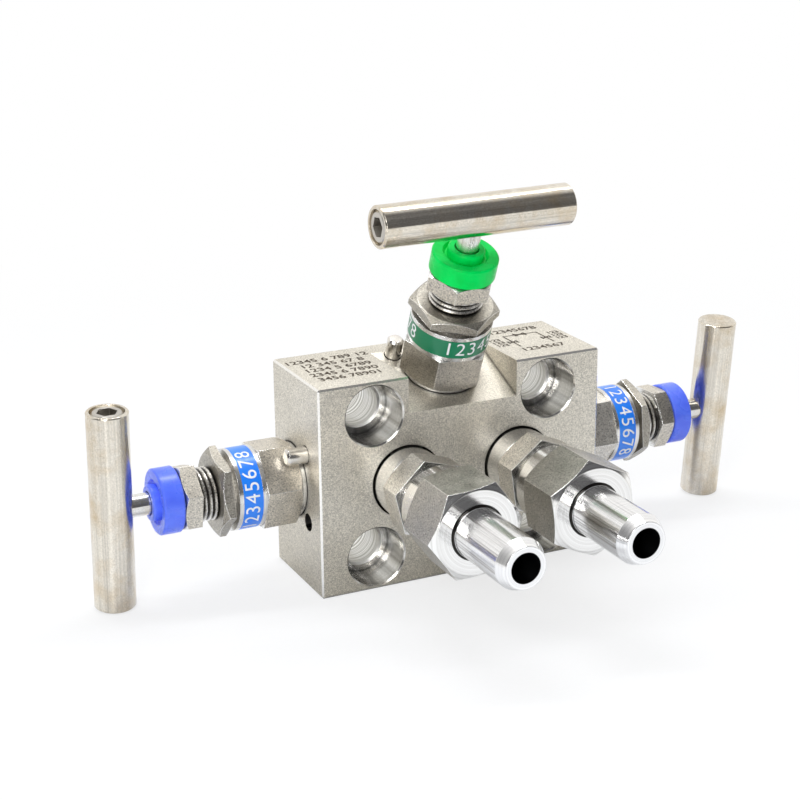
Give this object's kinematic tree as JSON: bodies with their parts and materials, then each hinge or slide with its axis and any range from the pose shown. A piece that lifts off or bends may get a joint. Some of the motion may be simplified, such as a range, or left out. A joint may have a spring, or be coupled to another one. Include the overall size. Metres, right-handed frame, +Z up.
{
  "type": "instrument valve manifold",
  "caption": "Steel instrument valve manifold: a notched block with hexagonal needle valves, round T-bar handles, weld unions and a bolted transmitter face.",
  "frame": {"origin": "centre of the block's bottom face", "axes": "+Z up, the process unions point along -Y, the transmitter face looks along +Y, the isolating valves point along -X and +X"},
  "size_m": [0.2036, 0.0991, 0.1105],
  "materials": {
    "block_steel": "bead blasted stainless",
    "hexagon_steel": "satin stainless",
    "turned_steel": "fine turned stainless",
    "polished_steel": "polished stainless",
    "bar_steel": "drawn bright stainless",
    "blue_plastic": "satin blue",
    "green_plastic": "satin green",
    "blue_film": "gloss blue",
    "green_film": "gloss dark green",
    "seal_polymer": "white fluoropolymer"
  },
  "bodies": {
    "block": {"manifold_body": "block_steel", "bonnet_lock_pins": "turned_steel", "instrument_seals": "seal_polymer", "isolate_left_bonnet": "hexagon_steel", "isolate_left_label_ring": "turned_steel", "isolate_left_label_film": "blue_film", "isolate_left_lock_nut": "hexagon_steel", "isolate_left_gland_nut": "hexagon_steel", "isolate_left_dust_cap": "blue_plastic", "isolate_left_packing": "seal_polymer", "isolate_left_packing_washers": "turned_steel", "isolate_left_bonnet_gasket": "turned_steel", "isolate_right_bonnet": "hexagon_steel", "isolate_right_label_ring": "turned_steel", "isolate_right_label_film": "blue_film", "isolate_right_lock_nut": "hexagon_steel", "isolate_right_gland_nut": "hexagon_steel", "isolate_right_dust_cap": "blue_plastic", "isolate_right_packing": "seal_polymer", "isolate_right_packing_washers": "turned_steel", "isolate_right_bonnet_gasket": "turned_steel", "equalize_bonnet": "hexagon_steel", "equalize_label_ring": "turned_steel", "equalize_label_film": "green_film", "equalize_lock_nut": "hexagon_steel", "equalize_gland_nut": "hexagon_steel", "equalize_dust_cap": "green_plastic", "equalize_packing": "seal_polymer", "equalize_packing_washers": "turned_steel", "equalize_bonnet_gasket": "turned_steel", "union_connector_left": "hexagon_steel", "union_nut_left": "hexagon_steel", "weld_nipple_left": "polished_steel", "union_gasket_left": "seal_polymer", "union_connector_right": "hexagon_steel", "union_nut_right": "hexagon_steel", "weld_nipple_right": "polished_steel", "union_gasket_right": "seal_polymer"},
    "isolate_left_needle": {"isolate_left_needle_tip": "turned_steel"},
    "isolate_left_spindle": {"isolate_left_stem": "polished_steel", "isolate_left_handle_bar": "bar_steel", "isolate_left_handle_screw": "bar_steel"},
    "isolate_right_needle": {"isolate_right_needle_tip": "turned_steel"},
    "isolate_right_spindle": {"isolate_right_stem": "polished_steel", "isolate_right_handle_bar": "bar_steel", "isolate_right_handle_screw": "bar_steel"},
    "equalize_needle": {"equalize_needle_tip": "turned_steel"},
    "equalize_spindle": {"equalize_stem": "polished_steel", "equalize_handle_bar": "bar_steel", "equalize_handle_screw": "bar_steel"}
  },
  "joints": [
    {"name": "isolate_left_lift", "type": "slide", "parent": "block", "child": "isolate_left_needle", "axis": [-1, 0, 0], "range_m": [-0.00276, 0]},
    {"name": "isolate_left_turn", "type": "hinge", "parent": "isolate_left_needle", "child": "isolate_left_spindle", "pos_m": [-0.0435, 0.0033, 0.0292], "axis": [-1, 0, 0], "range_deg": [-990, 0]},
    {"name": "isolate_right_lift", "type": "slide", "parent": "block", "child": "isolate_right_needle", "axis": [1, 0, 0], "range_m": [-0.00276, 0]},
    {"name": "isolate_right_turn", "type": "hinge", "parent": "isolate_right_needle", "child": "isolate_right_spindle", "pos_m": [0.0435, 0.0033, 0.0292], "axis": [1, 0, 0], "range_deg": [-990, 0]},
    {"name": "equalize_lift", "type": "slide", "parent": "block", "child": "equalize_needle", "axis": [0, -0.3827, 0.9239], "range_m": [-0.00276, 0]},
    {"name": "equalize_turn", "type": "hinge", "parent": "equalize_needle", "child": "equalize_spindle", "pos_m": [0, -0.002, 0.0561], "axis": [0, -0.3827, 0.9239], "range_deg": [-990, 0]}
  ],
  "couplings": [
    {"joint": "isolate_left_lift", "follows": "isolate_left_turn", "m_per_rad": 0.00015915},
    {"joint": "isolate_right_lift", "follows": "isolate_right_turn", "m_per_rad": 0.00015915},
    {"joint": "equalize_lift", "follows": "equalize_turn", "m_per_rad": 0.00015915}
  ]
}
